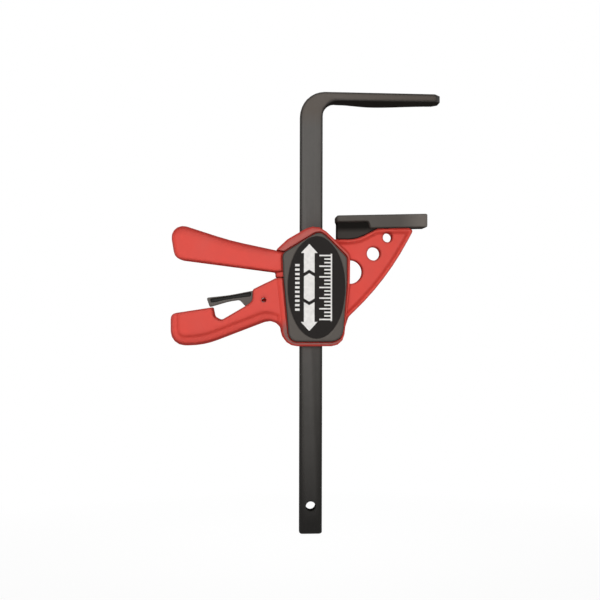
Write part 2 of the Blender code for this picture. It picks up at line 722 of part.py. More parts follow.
def lever_arm_outline():
    """Both arms from the side: the lever's root, the eye, and the nose that pushes the plates."""
    pin = Vector(LEVER_PIN)
    shoulder = Vector((left(LEVER_SHOULDER_ROOM), LEVER_SHOULDER_RISE))
    along = (pin - shoulder).normalized()
    across = Vector((-along.y, along.x))
    eye_far = pin + (along + across) * LEVER_EYE_RADIUS
    eye_near = pin + (along - across) * LEVER_EYE_RADIUS
    nose_right = left(LEVER_NOSE_ROOM - LEVER_NOSE_WIDTH / 2)
    nose_left = left(LEVER_NOSE_ROOM + LEVER_NOSE_WIDTH / 2)
    return rounded((
        (left(LEVER_ARM_ROOT), LEVER_SHOULDER_RISE, 0.0),
        (shoulder.x, shoulder.y, 0.003),
        (eye_far.x, eye_far.y, LEVER_EYE_ROUND * LEVER_EYE_RADIUS),
        (eye_near.x, eye_near.y, LEVER_EYE_NEAR_ROUND * LEVER_EYE_RADIUS),
        (nose_right, LEVER_NOSE_RISE, 0.0006),
        (nose_left, LEVER_NOSE_RISE, 0.001),
        (nose_left - LEVER_NOSE_SLANT, LEVER_NOSE_RISE + LEVER_NOSE_HEIGHT, 0.0004),
        (left(LEVER_ARM_ROOT), LEVER_NOSE_RISE + LEVER_NOSE_HEIGHT, 0.0),
    ))


def make_lever(head):
    """The drive lever: handle, web under its root, and two arms past the bar to the pin beyond it."""
    half = HANDLE_THICKNESS / 2
    lever = prism("drive_lever", soft(LEVER_OUTLINE, -half, half, LEVER_EDGE), head, LEVER_PIN)
    beside_cover = rounded(COVER_OUTLINE, -COVER_GAP)
    cut_sides(lever, "lever_root", beside_cover, COVER_IN - RUN_GAP, half + PAST, head)
    arms = prism("lever_arms", flat(lever_arm_outline(), -CHEEK_OUT, CHEEK_OUT), head)
    beyond = 2 * LEVER_EYE_RADIUS
    fork_right = right(LEVER_PIN_ROOM + beyond)
    fork = box(left(2 * RUN_GAP), fork_right, LEVER_PIN_RISE - beyond, LEVER_SHOULDER_RISE + PAST)
    cut(arms, "lever_fork", fork, -CHEEK_IN, CHEEK_IN, head)
    eye = circle(*LEVER_PIN, LEVER_PIN_RADIUS + SEAT_GAP)
    cut(arms, "lever_eye", eye, -CHEEK_OUT - PAST, CHEEK_OUT + PAST, head)
    join(lever, arms)
    web_half = WEB_THICKNESS / 2
    join(lever, prism("lever_web", flat(rounded(LEVER_WEB_OUTLINE), -web_half, web_half), head))
    return finish(lever, red_plastic("lever_red"))


def make_pin(name, place, radius, half_length, head):
    full = circle(*place, radius)
    end = circle(*place, radius - PIN_CHAMFER)
    straight = half_length - PIN_CHAMFER
    rings = [(end, -half_length), (full, -straight), (full, straight), (end, half_length)]
    return finish(prism(name, rings, head, place), steel(name + "_steel"))


def plate_points(corners, thickness, drop):
    """Top and bottom ring of a plate, as points (along, across, up) from its own origin."""
    outline = rounded(corners)
    return [[(p.x, p.y, level) for p in outline] for level in (-drop - thickness, -drop)]


def make_plate(name, ends, tail, thickness, tilt, pivot, drop, head):
    """A tilted plate round the bar, its top under the pivot by the drop, its right end the higher one."""
    low, high = ((x - pivot[0]) / math.cos(tilt) for x in ends)
    half = PLATE_HALF
    corners = [(low, half, PLATE_CORNER), (high, half, PLATE_CORNER), (high, -half, PLATE_CORNER)]
    corners.append((low, -half, PLATE_CORNER))
    if tail:
        tip = (tail - pivot[0]) / math.cos(tilt)
        thin = BRAKE_TAIL_WIDTH / 2
        corners += [(low, -thin, 0.0), (tip, -thin, PLATE_CORNER)]
        corners += [(tip, thin, PLATE_CORNER), (low, thin, 0.0)]
    middle = (-pivot[0] - (drop + thickness / 2) * math.sin(tilt)) / math.cos(tilt)
    half_hole = BAR_WIDTH / 2 + RUN_GAP
    deep_hole = BAR_THICKNESS / 2 + RUN_GAP
    hole = [
        (middle - half_hole, deep_hole, 0.0), (middle + half_hole, deep_hole, 0.0),
        (middle + half_hole, -deep_hole, 0.0), (middle - half_hole, -deep_hole, 0.0),
    ]
    pieces = []
    for piece, outline, extra in ((name, corners, 0.0), (name + "_hole", hole, PAST)):
        build = bmesh.new()
        rings = plate_points(outline, thickness + 2 * extra, drop - extra)
        skin(build, [[build.verts.new(point) for point in ring] for ring in rings])
        obj = add_object(piece, build, head, (pivot[0], 0.0, pivot[1]))
        obj.rotation_euler = (0.0, -tilt, 0.0)
        pieces.append(obj)
    combine(pieces[0], pieces[1], "DIFFERENCE")
    return finish(pieces[0], steel(name + "_steel"))


def make_spring(name, x, low, high, head):
    """A coil standing between two levels, with straight wire ends one wire thick in length."""
    radius = (SPRING_DIAMETER - SPRING_WIRE) / 2
    first = low + SPRING_WIRE / 2
    rise = (high - low - SPRING_WIRE) / SPRING_TURNS
    count = SPRING_TURNS * SPRING_POINTS
    points = []
    for step in range(count + 1):
        angle = 2 * math.pi * step / SPRING_POINTS
        height = rise * step / SPRING_POINTS
        points.append(Vector((radius * math.cos(angle), radius * math.sin(angle), height)))
    points.insert(0, points[0] - Vector((0.0, SPRING_WIRE, 0.0)))
    points.append(points[-1] + Vector((0.0, SPRING_WIRE, 0.0)))
    apart = [
        (p - q).length for i, p in enumerate(points) for q in points[i + SPRING_POINTS // 2:]
    ]
    print(name, "least gap to itself", round((min(apart) - SPRING_WIRE) * 1000, 2), "mm")
    curve = bpy.data.curves.new(name, "CURVE")
    curve.dimensions = "3D"
    curve.bevel_depth = SPRING_WIRE / 2
    curve.bevel_resolution = 1
    curve.use_fill_caps = True
    spline = curve.splines.new("POLY")
    spline.points.add(len(points) - 1)
    for target, point in zip(spline.points, points):
        target.co = (*point, 1.0)
    curve.materials.append(steel(name + "_steel"))
    spring = bpy.data.objects.new(name, curve)
    bpy.context.scene.collection.objects.link(spring)
    spring.parent = head
    spring.location = (x, 0.0, first)
    return spring


def make_works(head):
    """Plates, pins and springs inside the body."""
    make_pin("lever_pin", LEVER_PIN, LEVER_PIN_RADIUS, CHEEK_OUT, head)
    make_pin("fulcrum_pin", FULCRUM, FULCRUM_RADIUS, PLATE_HALF - SEAT_GAP, head)
    nose = (left(LEVER_NOSE_ROOM), LEVER_NOSE_RISE)
    ends = (left(DRIVE_PLATE_LEFT), right(DRIVE_PLATE_RIGHT))
    second = SEAT_GAP + DRIVE_PLATE_THICKNESS + SEAT_GAP
    for name, drop in (("upper_drive_plate", SEAT_GAP), ("lower_drive_plate", second)):
        make_plate(name, ends, None, DRIVE_PLATE_THICKNESS, DRIVE_PLATE_TILT, nose, drop, head)
    contact = (FULCRUM[0], FULCRUM[1] - FULCRUM_RADIUS)
    ends = (left(BRAKE_PLATE_LEFT), right(BRAKE_PLATE_RIGHT))
    tail = left(BRAKE_TAIL_LEFT)
    make_plate("brake_plate", ends, tail, BRAKE_PLATE_THICKNESS, BRAKE_PLATE_TILT, contact, SEAT_GAP, head)
    stack = second + DRIVE_PLATE_THICKNESS
    edge = DRIVE_SPRING_X - SPRING_DIAMETER / 2 - nose[0]
    under = stack / math.cos(DRIVE_PLATE_TILT)
    drive_top = nose[1] + edge * math.tan(DRIVE_PLATE_TILT) - under - SEAT_GAP
    make_spring("drive_spring", DRIVE_SPRING_X, SHELF_TOP + SEAT_GAP, drive_top, head)
    edge = BRAKE_SPRING_X - SPRING_DIAMETER / 2 - contact[0]
    under = (SEAT_GAP + BRAKE_PLATE_THICKNESS) / math.cos(BRAKE_PLATE_TILT)
    brake_top = contact[1] + edge * math.tan(BRAKE_PLATE_TILT) - under - SEAT_GAP
    make_spring("brake_spring", BRAKE_SPRING_X, BLOCK_TOP + SEAT_GAP, brake_top, head)


def make_trigger(head):
    half = TRIGGER_THICKNESS / 2
    rings = soft(TRIGGER_OUTLINE, -half, half, TRIGGER_EDGE)
    trigger = prism("release_trigger", rings, head, TRIGGER_PIN)
    pocket = rounded(TRIGGER_POCKET_OUTLINE)
    cut_sides(trigger, "trigger_pocket", pocket, half - TRIGGER_POCKET_SINK, half + PAST, head)
    hole = circle(*TRIGGER_PIN, TRIGGER_PIN_RADIUS + SEAT_GAP)
    cut(trigger, "trigger_hole", hole, -half - PAST, half + PAST, head)
    finish(trigger, grey_plastic("trigger_grey"))
    half_length = HANDLE_THICKNESS / 2 - TRIGGER_PIN_SINK
    make_pin("trigger_pin", TRIGGER_PIN, TRIGGER_PIN_RADIUS, half_length, head)


def make_pad(head):
    """The pad: a sloping face plate, skirts over the jaw's tongue, and a core on the jaw's hollow."""
    half = PAD_WIDTH / 2
    end = PAD_ROOM + PAD_LENGTH
    skirt = JAW_DROP - SEAT_GAP
    outline = (
        (*under_pad_face(PAD_ROOM, 0.0), 0.0008, 0.35),
        (*under_pad_face(end, 0.0), 0.0008, 1.0),
        (*under_pad_face(end, skirt), 0.0008, 0.35),
        (*under_pad_face(PAD_SKIRT_START, skirt), 0.001, 0.35),
        (*under_pad_face(PAD_SKIRT_START - PAD_SKIRT_SLANT, PAD_PLATE), 0.0012, 0.35),
        (*under_pad_face(PAD_ROOM, PAD_PLATE), 0.0008, 0.7),
    )
    pad = prism("jaw_pad", soft(outline, -half, half, PAD_EDGE), head)
    hollow = JAW_OUTLINE[1]
    rise = JAW_OUTLINE[2]
    core_left = right(PAD_ROOM + PAD_CORE_SETBACK)
    core_top = PAD_FACE_RISE - PAD_PLATE
    core = rounded((
        (core_left, core_top, 0.0),
        (right(PAD_CORE_RIGHT), core_top, 0.0),
        (right(PAD_CORE_RIGHT), rise[1] + SEAT_GAP, 0.0),
        (rise[0] - SEAT_GAP, rise[1] + SEAT_GAP, 0.0),
        (hollow[0] - SEAT_GAP / 2, hollow[1] + SEAT_GAP, hollow[2]),
        (core_left, hollow[1] + SEAT_GAP, 0.0008),
    ))
    core_half = PAD_CORE_WIDTH / 2
    join(pad, prism("pad_core", flat(core, -core_half, core_half), head))
    pocket = [Vector(point) for point in (
        under_pad_face(TONGUE_LEFT - SEAT_GAP, PAD_PLATE),
        under_pad_face(end - PAD_END_WALL, PAD_PLATE),
        under_pad_face(end - PAD_END_WALL, JAW_DROP + PAST),
        under_pad_face(TONGUE_LEFT - SEAT_GAP, JAW_DROP + PAST),
    )]
    pocket_half = half - PAD_SKIRT
    cut(pad, "pad_pocket", pocket, -pocket_half, pocket_half, head)
    return finish(pad, grey_plastic("pad_grey"))


def main():
    clear_scene()
    frame = make_empty("clamp_frame", (-CLAMP_POINT, 0.0, 0.0), None)
    head = make_empty("head", (0.0, 0.0, HEAD_RISE), frame)
    make_bar(frame)
    make_body(head)
    make_front_cover(head)
    make_rear_cover(head)
    make_label(head)
    make_screws(head)
    make_lever(head)
    make_works(head)
    make_trigger(head)
    make_pad(head)


main()
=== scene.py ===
"""Looks of the one-hand guide-rail clamp: moulded plastic, blackened steel and a printed label.

Metres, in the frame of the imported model. Each shown piece is worked from the solid that it stands for.
A span is where a shader's value starts and ends, in either order, while a share goes from none to all.
"""

import json
import math

import bmesh
import bpy
from mathutils import Matrix, Vector
from mathutils.bvhtree import BVHTree


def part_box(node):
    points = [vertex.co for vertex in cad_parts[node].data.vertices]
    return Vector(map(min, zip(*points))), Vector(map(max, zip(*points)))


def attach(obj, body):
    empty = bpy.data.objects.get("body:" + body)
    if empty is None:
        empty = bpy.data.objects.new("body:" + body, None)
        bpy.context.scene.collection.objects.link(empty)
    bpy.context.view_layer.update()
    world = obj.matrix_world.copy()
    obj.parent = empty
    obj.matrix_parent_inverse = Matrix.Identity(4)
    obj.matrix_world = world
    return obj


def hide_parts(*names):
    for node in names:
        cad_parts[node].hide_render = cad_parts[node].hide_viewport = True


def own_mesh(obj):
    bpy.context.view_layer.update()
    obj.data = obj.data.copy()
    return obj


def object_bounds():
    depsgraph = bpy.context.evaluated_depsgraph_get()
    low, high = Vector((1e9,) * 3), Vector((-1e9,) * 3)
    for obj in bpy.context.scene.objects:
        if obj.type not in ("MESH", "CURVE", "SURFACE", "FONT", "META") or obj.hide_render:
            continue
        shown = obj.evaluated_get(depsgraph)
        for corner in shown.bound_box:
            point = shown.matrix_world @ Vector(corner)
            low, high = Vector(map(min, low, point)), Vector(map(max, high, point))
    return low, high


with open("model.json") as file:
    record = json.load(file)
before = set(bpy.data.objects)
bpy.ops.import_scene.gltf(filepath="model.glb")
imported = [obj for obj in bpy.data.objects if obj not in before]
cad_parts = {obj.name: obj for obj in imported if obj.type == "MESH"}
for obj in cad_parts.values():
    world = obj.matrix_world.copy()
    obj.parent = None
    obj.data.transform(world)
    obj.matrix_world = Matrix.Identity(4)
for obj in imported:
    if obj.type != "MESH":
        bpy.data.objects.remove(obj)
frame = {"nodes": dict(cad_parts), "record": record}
cad_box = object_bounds()

# Meshes
WELD = 0.00001
SHARP_ANGLE = math.radians(32.0)
LABEL_SHARP_ANGLE = math.radians(8.0)

# Mouldings: voxel size and rounds of smoothing
MOULDINGS = {
    "body": (0.00035, 4),
    "drive_lever": (0.00035, 16),
    "front_cover": (0.0003, 4),
    "rear_cover": (0.0003, 4),
    "release_trigger": (0.00025, 4),
    "jaw_pad": (0.0004, 5),
}
SMOOTHING_FACTOR = 0.5
SEAT_REACH = 0.0006
SEAT_LEFT = 0.00004

# Label print, in millimetres from the label's centre
PER_METRE = 1000
ARROW_MIDDLE = -4.2
ARROW_TIP = 24.5
ARROW_BASE = 19.4
ARROW_BARB = 4.7
ARROW_SHAFT = 3.0
ARROW_NOTCH = 10.0
TAG_TIP = 8.0
TAG_SLANT = 1.8
RULE_EDGE = 8.7
RULE_HALF = 19.0
RULE_WIDTH = 0.8
TICK_PITCH = 2.0
TICK_WIDTH = 0.8
TICK_LONG = 6.4
TICK_SHORT = 3.6
TICKS_PER_LONG = 3
DASH_MIDDLE = -10.9
DASH_LENGTH = 2.5
DASH_WIDTH = 1.3
DASH_PITCH = 2.5
DASHES = 11
INK_HEIGHT = 0.00004

# Springs: the joint that shortens each one, and by how much
SPRINGS = {
    "drive_spring": ("drive_stroke", 0.0027),
    "brake_spring": ("brake_tilt", 0.0017),
}
SPRING_WIRE = 0.0007
SPRING_TURNS = 4
SPRING_CLOSED = 0.75
SPRING_CLOSED_PITCH = 1.15 * SPRING_WIRE
SPRING_STEPS = 32
SPRING_ROUNDNESS = 3

# Plastics: painted shade within the depth from the middle plane, and within the edge's width
# The second colour serves for specks and for a painted highlight on pointed corners; the third is painted
# shade
RED_PLASTIC = {
    "colour": (0.645, 0.06, 0.043),
    "speck_and_highlight": (0.62, 0.16, 0.13),
    "shade_colour": (0.2, 0.014, 0.011),
    "roughness": 0.5,
    "depth": 0.003,
    "deep_shade_share": 0.5,
    "edge": 0.0028,
    "edge_shade_share": 0.8,
}
GREY_PLASTIC = {
    "colour": (0.082, 0.071, 0.062),
    "speck_and_highlight": (0.13, 0.12, 0.11),
    "shade_colour": (0.02, 0.018, 0.016),
    "roughness": 0.55,
    "depth": 0.004,
    "deep_shade_share": 0.5,
    "edge": 0.001,
    "edge_shade_share": 0.8,
}
PAD_PLASTIC = {**GREY_PLASTIC, "colour": (0.0656, 0.0568, 0.0496)}
TRIGGER_PLASTIC = {
    **GREY_PLASTIC,
    "colour": (0.1, 0.092, 0.083),
    # Darker painted shade, which nearly fills the trigger's recess
    "shade_colour": (0.008, 0.0072, 0.0064),
    "depth": 0.0026,
    "deep_shade_share": 0.95,
    "edge_shade_share": 0.25,
}

# Films and steels: colour and roughness
LABEL_FILM = ((0.018, 0.0155, 0.0145), 0.6)
LABEL_INK = ((0.76, 0.74, 0.72), 0.6)
# The trigger pin's end is coloured as red moulding in painted shade
PIN_SHADED_RED = ((0.19, 0.008, 0.005), 0.8)
ZINC = ((0.62, 0.62, 0.6), 0.32)
GROUND = ((0.5, 0.5, 0.5), 0.28)
HARDENED = ((0.35, 0.35, 0.35), 0.4)
WIRE = ((0.5, 0.5, 0.5), 0.3)

# Noise: scale, detail and roughness, and the span that holds nearly all its values
NOISE_SPAN = (0.3, 0.7)
CLOUDS = (70.0, 4.0)
SPECKS = (2400.0, 2.0)
PEEL = (420.0, 2.0)
BAR_CLOUDS = (60.0, 5.0, 0.6)
BAR_GRAIN = (3000.0, 2.0)
STREAKS = (1.0, 4.0, 0.6)
STREAK_STRETCH = (900.0, 900.0, 14.0)
TARNISH = (300.0, 4.0)
SCRATCHES = (1.0, 3.0)
SCRATCH_STRETCH = (200.0, 4000.0, 900.0)
MOTTLE = (500.0, 3.0)
TOOTH = (2000.0, 3.0)

# Bumps: distance and strength
SPECK_BUMP = (0.00002, 0.25)
PEEL_BUMP = (0.00003, 0.2)
GRAIN_BUMP = (0.00002, 0.2)
STREAK_BUMP = (0.00002, 0.15)
SCRATCH_BUMP = (0.00001, 0.2)
TOOTH_BUMP = (0.00001, 0.2)

# Plastic finish: a painted highlight on corners and painted shade in crevices go by how pointed the surface
# is
CLOUD_TONES = (0.95, 1.04)
SPECK_SPAN = (0.62, 0.75)
SPECK_SHARE = 0.1
EDGE_HIGHLIGHT_SPAN = (0.505, 0.56)
EDGE_HIGHLIGHT_SHARE = 0.25
CREVICE_SHADE_SPAN = (0.495, 0.44)
CREVICE_SHADE_SHARE = 0.6
SINK = 0.0006
PLASTIC_ROUGHNESS = (-0.05, 0.06)
GLOSS = 0.15

# Painted shade on edges and flanks, by how squarely they face the front
FLANK_SHADE_SPAN = (0.995, 0.62)
SIDE_SPAN = (0.7, 0.3)
SIDE_SHADE_SHARE = 0.3
BEVEL_SAMPLES = 8

# Grips: painted shade on the rounder side that the hand holds
LEVER_GRIP = 0.008
HANDLE_GRIP = 0.0052
GRIP_LEAST_SLOPE = 0.04
GRIP_MOST_SLOPE = 0.6
GRIP_SHADE_SHARE = 0.6
GRIP_REACH = (-0.058, -0.066)
GRIP_SHADE = (0.24, 0.009, 0.005)

# Boss rim, with painted shade and a painted sheen: how far out it starts, and its heights, share and colour
# at the top and at the bottom
RIM_SPAN = (0.0095, 0.01)
RIM_SHADE = (
    ((-0.0996, -0.0882), 0.75, (0.34, 0.095, 0.082)),
    ((-0.1243, -0.1312), 0.95, (0.175, 0.1, 0.092)),
)

# Pad: painted shade on its core under the sloping plate, darkest as a painted shadow close under it, and a
# painted highlight on its right part
CORE_DEPTH = 0.0058
CORE_DEPTH_BLUR = 0.0003
CORE_TOP = -0.069
CORE_TOP_BLUR = 0.0002
CORE_SLOPE = 0.0262
CORE_SHADOW_DROP = 0.0032
CORE_SOFT_DROP = 0.006
CORE_SHADE = (0.048, 0.043, 0.039)
CORE_SHADOW = (0.011, 0.01, 0.009)
PAD_HIGHLIGHT_SPAN = (0.011, 0.023)
PAD_HIGHLIGHT = 1.85

# Bar finish, by height for painted shade towards the lower end and for the forged finger
BAR_DARK = (0.074, 0.069, 0.064)
BAR_PALE = (0.092, 0.086, 0.08)
BAR_STREAK = (0.115, 0.108, 0.1)
BAR_FORGED = (0.088, 0.072, 0.06)
BAR_SHADE = (0.012, 0.011, 0.01)
STREAK_SPAN = (0.55, 0.75)
STREAK_SHARE = 0.35
LOWER_SHADE_SPAN = (-0.125, -0.242)
FORGED_SPAN = (-0.016, -0.006)
FORGED_SHARE = 0.8
# Painted shade on the bar's edges, flanks and undersides
BAR_EDGE = 0.0028
BAR_FLANK_SHADE_SPAN = (0.99, 0.87)
BAR_FLANK_SHADE_SHARE = 0.9
BAR_SIDE_SHADE_SHARE = 0.35
UNDER_SHADE_SPAN = (-0.3, -0.7)
BAR_ROUGHNESS = (0.4, 0.52)
BAR_GLOSS = 0.1

# Steel and film finish
TARNISH_TONE = 0.82
STEEL_ROUGHNESS = (-0.08, 0.1)
MOTTLE_TONES = (0.9, 1.05)
FILM_ROUGHNESS = (-0.05, 0.05)
FILM_GLOSS = 0.05

# Camera, at the photo's view
CAMERA_DISTANCE = 0.480
CAMERA_AZIMUTH = math.radians(-3.0)
CAMERA_ROLL = math.radians(0.13)
CAMERA_TARGET = Vector((-0.04594, 0.0, -0.11399))
SENSOR = 36.0
LENS = 50.09

# Floor, world and lights, with each light's place and watts
WHITE = (1.0, 1.0, 1.0)
FLOOR_COLOUR = (0.6, 0.6, 0.59)
FLOOR_ROUGHNESS = 0.9
FLOOR_DROP = 0.25
FLOOR_HALF = 4.0
FLOOR_WHITE_SPAN = (0.3, 1.2)
FLOOR_WHITE_SHARE = 0.84
WORLD_LIGHT = 0.12
LIGHT_SIZE = 0.6
LIGHT_TARGET = Vector((-0.045, 0.0, -0.09))
LIGHTS = {
    "key": ((-0.08, -1.1, 0.1), 9.3),
    "top": ((-0.1, -0.2, 1.0), 3.0),
    "back": ((-0.01, 1.1, 0.1), 9.3),
    "left": ((-1.1, 0.0, 0.1), 4.0),
    "right": ((1.1, 0.0, 0.1), 4.0),
}


def new_material(name):
    material = bpy.data.materials.new(name)
    material.use_nodes = True
    tree = material.node_tree
    return material, tree, tree.nodes["Principled BSDF"]


def add(tree, kind, inputs=None, **settings):
    """Adds a shader node, with values or links for its inputs."""
    made = tree.nodes.new("ShaderNode" + kind)
    for name, value in settings.items():
        setattr(made, name, value)
    for socket, value in (inputs or {}).items():
        if isinstance(value, bpy.types.NodeSocket):
            tree.links.new(value, made.inputs[socket])
        else:
            made.inputs[socket].default_value = value
    return made


def opaque(colour, factor=1.0):
    """A colour as a shader takes it, made darker or paler by a factor."""
    return (*(channel * factor for channel in colour), 1.0)


def noise(tree, place, scale, detail, roughness=0.5):
    inputs = {"Vector": place, "Scale": scale, "Detail": detail, "Roughness": roughness}
    return add(tree, "TexNoise", inputs).outputs["Fac"]


def stretched(tree, place, scales):
    return add(tree, "Mapping", {"Vector": place, "Scale": scales}).outputs["Vector"]


def ranged(tree, value, span, low=0.0, high=1.0):
    """A value that goes from low to high while another one crosses a span."""
    start, end = span
    inputs = {"Value": value, "From Min": start, "From Max": end, "To Min": low, "To Max": high}
    return add(tree, "MapRange", inputs).outputs["Result"]


def mixed(tree, share, first, second):
    """Colour between two, each a colour or a socket."""
    mix = add(tree, "Mix", data_type="RGBA")
    for index, value in ((0, share), (6, first), (7, second)):
        if isinstance(value, bpy.types.NodeSocket):
            tree.links.new(value, mix.inputs[index])
        else:
            mix.inputs[index].default_value = value
    return mix.outputs[2]


def times(tree, first, second):
    return add(tree, "Math", {0: first, 1: second}, operation="MULTIPLY").outputs[0]


def larger(tree, first, second):
    return add(tree, "Math", {0: first, 1: second}, operation="MAXIMUM").outputs[0]


def unsigned(tree, value):
    return add(tree, "Math", {0: value}, operation="ABSOLUTE").outputs[0]


def axes(tree, vector):
    """The X, Y and Z of a vector, by name."""
    return add(tree, "SeparateXYZ", {"Vector": vector}).outputs


def squareness(tree, facing):
    """How squarely a normal faces the front or the back."""
    return unsigned(tree, axes(tree, facing)["Y"])


def bevelled(tree, radius):
    """The normal of a surface as if its edges were rounded."""
    return add(tree, "Bevel", {"Radius": radius}, samples=BEVEL_SAMPLES).outputs["Normal"]


def bump(tree, height, distance, strength, under=None):
    inputs = {"Height": height, "Distance": distance, "Strength": strength}
    if under is not None:
        inputs["Normal"] = under
    return add(tree, "Bump", inputs).outputs["Normal"]


def set_gloss(tree, shader, plain, gloss):
    """Gloss on the faces, which fades out on the flanks."""
    socket = shader.inputs["Specular IOR Level"]
    socket.default_value = gloss
    tree.links.new(ranged(tree, plain, SIDE_SPAN, gloss, 0.0), socket)


def set_roughness(tree, shader, pattern, low, high):
    tree.links.new(ranged(tree, pattern, NOISE_SPAN, low, high), shader.inputs["Roughness"])


def painted(material):
    """A material's tree, its base colour's socket and what is linked to it."""
    tree = material.node_tree
    base = tree.nodes["Principled BSDF"].inputs["Base Color"]
    return tree, base, base.links[0].from_socket


def plastic(name, colour, speck_and_highlight, shade_colour, roughness, depth, deep_shade_share, edge, edge_shade_share):
    """Moulded plastic: cloudy and finely grained, with a painted highlight on pointed corners, and painted
    shade in crevices, down in recesses and on edges.
    """
    material, tree, shader = new_material(name)
    place = add(tree, "TexCoord").outputs["Object"]
    clouds = noise(tree, place, *CLOUDS)
    specks = noise(tree, place, *SPECKS)
    peel = noise(tree, place, *PEEL)
    darker, paler = (opaque(colour, factor) for factor in CLOUD_TONES)
    speck_and_highlight = opaque(speck_and_highlight)
    dark = opaque(shade_colour)
    tone = mixed(tree, ranged(tree, clouds, NOISE_SPAN), darker, paler)
    tone = mixed(tree, ranged(tree, specks, SPECK_SPAN, high=SPECK_SHARE), tone, speck_and_highlight)
    # Painted highlight on pointed corners, and painted shade in crevices
    pointed = add(tree, "NewGeometry").outputs["Pointiness"]
    tone = mixed(tree, ranged(tree, pointed, EDGE_HIGHLIGHT_SPAN, high=EDGE_HIGHLIGHT_SHARE), tone, speck_and_highlight)
    tone = mixed(tree, ranged(tree, pointed, CREVICE_SHADE_SPAN, high=CREVICE_SHADE_SHARE), tone, dark)
    # Painted shade down in recesses that face the front
    plain = squareness(tree, add(tree, "TexCoord").outputs["Normal"])
    aside = unsigned(tree, axes(tree, place)["Y"])
    deep = ranged(tree, aside, (depth, depth - SINK), high=deep_shade_share)
    faces_front = ranged(tree, plain, SIDE_SPAN, 1.0, 0.0)
    tone = mixed(tree, times(tree, deep, faces_front), tone, dark)
    # Painted shade on edges turned from the front, less on surfaces that face sideways
    turned = ranged(tree, squareness(tree, bevelled(tree, edge)), FLANK_SHADE_SPAN, high=edge_shade_share)
    square = ranged(tree, plain, SIDE_SPAN, 1.0, SIDE_SHADE_SHARE)
    tone = mixed(tree, times(tree, turned, square), tone, dark)
    tree.links.new(tone, shader.inputs["Base Color"])
    set_gloss(tree, shader, plain, GLOSS)
    set_roughness(tree, shader, clouds, *(roughness + change for change in PLASTIC_ROUGHNESS))
    grain = bump(tree, specks, *SPECK_BUMP)
    tree.links.new(bump(tree, peel, *PEEL_BUMP, grain), shader.inputs["Normal"])
    return material


def paint_rim_shade(material):
    """Paints shade and a greyish sheen on the boss's proud rim round the cover, by its depth and height."""
    tree, base, tone = painted(material)
    place = axes(tree, add(tree, "TexCoord").outputs["Object"])
    proud = ranged(tree, unsigned(tree, place["Y"]), RIM_SPAN)
    for heights, most, colour in RIM_SHADE:
        there = ranged(tree, place["Z"], heights, high=most)
        tone = mixed(tree, times(tree, proud, there), tone, opaque(colour))
    tree.links.new(tone, base)


def shade_grip(material, radius, side):
    """Paints shade on the rounder side of a grip, where its edge turns from the light: the upper one for a
    side of 1 and the lower one for -1.
    """
    tree, base, tone = painted(material)
    place = add(tree, "TexCoord").outputs
    slope = axes(tree, bevelled(tree, radius))["Z"]
    slopes = (side * GRIP_LEAST_SLOPE, side * GRIP_MOST_SLOPE)
    share = ranged(tree, slope, slopes, high=GRIP_SHADE_SHARE)
    square = ranged(tree, squareness(tree, place["Normal"]), SIDE_SPAN, 1.0, SIDE_SHADE_SHARE)
    there = ranged(tree, axes(tree, place["Object"])["X"], GRIP_REACH)
    share = times(tree, times(tree, share, square), there)
    tree.links.new(mixed(tree, share, tone, opaque(GRIP_SHADE)), base)


def paint_pad_shade_and_highlight(material):
    """Paints shade on the pad's core, duller than its plate and darkest as a painted shadow close under it,
    and paints a highlight on the pad's right part.
    """
    tree, base, tone = painted(material)
    place = axes(tree, add(tree, "TexCoord").outputs["Object"])
    # Painted highlight on the pad's right part
    pale = ranged(tree, place["X"], PAD_HIGHLIGHT_SPAN)
    paler = mixed(tree, pale, opaque(WHITE), opaque(WHITE, PAD_HIGHLIGHT))
    tone = add(tree, "VectorMath", {0: tone, 1: paler}, operation="MULTIPLY").outputs["Vector"]
    # Painted shade on the core, with a painted shadow darkest close under the plate
    slope = times(tree, place["X"], CORE_SLOPE)
    under = add(tree, "Math", {0: slope, 1: place["Z"]}, operation="SUBTRACT").outputs[0]
    drops = (CORE_SHADOW_DROP - CORE_TOP, CORE_SOFT_DROP - CORE_TOP)
    core = mixed(tree, ranged(tree, under, drops), opaque(CORE_SHADOW), opaque(CORE_SHADE))
    inside = ranged(tree, unsigned(tree, place["Y"]), (CORE_DEPTH, CORE_DEPTH - CORE_DEPTH_BLUR))
    below = ranged(tree, under, (-CORE_TOP_BLUR - CORE_TOP, -CORE_TOP))
    share = times(tree, inside, below)
    tree.links.new(mixed(tree, share, tone, core), base)
    gloss = tree.nodes["Principled BSDF"].inputs["Specular IOR Level"]
    plate = ranged(tree, share, (0.0, 1.0), 1.0, 0.0)
    tree.links.new(times(tree, gloss.links[0].from_socket, plate), gloss)


